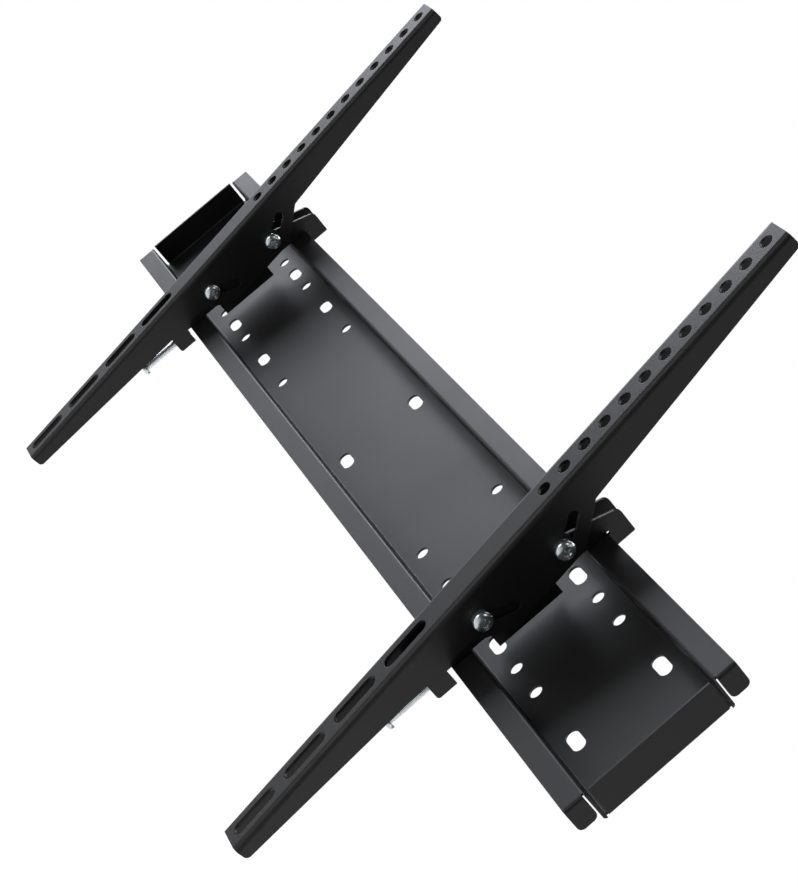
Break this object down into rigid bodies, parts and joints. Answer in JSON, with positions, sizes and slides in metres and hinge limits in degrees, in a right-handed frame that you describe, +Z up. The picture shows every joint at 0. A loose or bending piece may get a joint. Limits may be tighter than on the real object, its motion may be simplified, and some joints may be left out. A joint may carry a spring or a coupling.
{
  "type": "tilting tv wall mount",
  "caption": "Tilting wall bracket for a flat screen: a long folded rail plate with hooked brackets and tall drilled arms that slide along it and tilt",
  "frame": {"origin": "middle of the plate's back face, on the wall", "axes": "+X along the plate to the viewer's right, +Y into the wall, +Z up; the screen goes on the -Y side"},
  "size_m": [0.848, 0.0909, 0.4336],
  "materials": {
    "plate_coat": "satin black powder coat",
    "arm_coat": "satin black powder coat",
    "bracket_coat": "satin black powder coat",
    "zinc": "bright zinc plate",
    "disc_plastic": "plain"
  },
  "bodies": {
    "wall": {"wall_plate": "plate_coat"},
    "left_carriage": {"left_bracket": "bracket_coat", "left_nuts": "zinc", "left_head_washers": "zinc", "left_nut_washers": "zinc", "left_friction_discs": "disc_plastic", "left_spacers": "zinc", "left_safety_nut": "zinc"},
    "left_arm_body": {"left_arm": "arm_coat"},
    "left_upper_bolt_body": {"left_upper_bolt": "zinc"},
    "left_lower_bolt_body": {"left_lower_bolt": "zinc"},
    "left_safety_body": {"left_safety_screw": "zinc"},
    "right_carriage": {"right_bracket": "bracket_coat", "right_nuts": "zinc", "right_head_washers": "zinc", "right_nut_washers": "zinc", "right_friction_discs": "disc_plastic", "right_spacers": "zinc", "right_safety_nut": "zinc"},
    "right_arm_body": {"right_arm": "arm_coat"},
    "right_upper_bolt_body": {"right_upper_bolt": "zinc"},
    "right_lower_bolt_body": {"right_lower_bolt": "zinc"},
    "right_safety_body": {"right_safety_screw": "zinc"}
  },
  "joints": [
    {"name": "left_slide", "type": "slide", "parent": "wall", "child": "left_carriage", "axis": [1, 0, 0], "range_m": [-0.138, 0.24]},
    {"name": "left_tilt", "type": "hinge", "parent": "left_carriage", "child": "left_arm_body", "pos_m": [-0.273, -0.0834, 0.0073], "axis": [1, 0, 0], "range_deg": [-18.8, 1.2]},
    {"name": "left_upper_bolt_turn", "type": "hinge", "parent": "left_carriage", "child": "left_upper_bolt_body", "pos_m": [-0.273, -0.0335, 0.0315], "axis": [1, 0, 0], "continuous": true},
    {"name": "left_lower_bolt_turn", "type": "hinge", "parent": "left_carriage", "child": "left_lower_bolt_body", "pos_m": [-0.273, -0.0335, -0.026], "axis": [1, 0, 0], "continuous": true},
    {"name": "left_safety_travel", "type": "slide", "parent": "left_carriage", "child": "left_safety_body", "axis": [0, 0, 1], "range_m": [-0.004, 0.0208]},
    {"name": "right_slide", "type": "slide", "parent": "wall", "child": "right_carriage", "axis": [1, 0, 0], "range_m": [-0.24, 0.146]},
    {"name": "right_tilt", "type": "hinge", "parent": "right_carriage", "child": "right_arm_body", "pos_m": [0.265, -0.0834, 0.0073], "axis": [1, 0, 0], "range_deg": [-18.8, 1.2]},
    {"name": "right_upper_bolt_turn", "type": "hinge", "parent": "right_carriage", "child": "right_upper_bolt_body", "pos_m": [0.265, -0.0335, 0.0315], "axis": [1, 0, 0], "continuous": true},
    {"name": "right_lower_bolt_turn", "type": "hinge", "parent": "right_carriage", "child": "right_lower_bolt_body", "pos_m": [0.265, -0.0335, -0.026], "axis": [1, 0, 0], "continuous": true},
    {"name": "right_safety_travel", "type": "slide", "parent": "right_carriage", "child": "right_safety_body", "axis": [0, 0, 1], "range_m": [-0.004, 0.0208]}
  ]
}
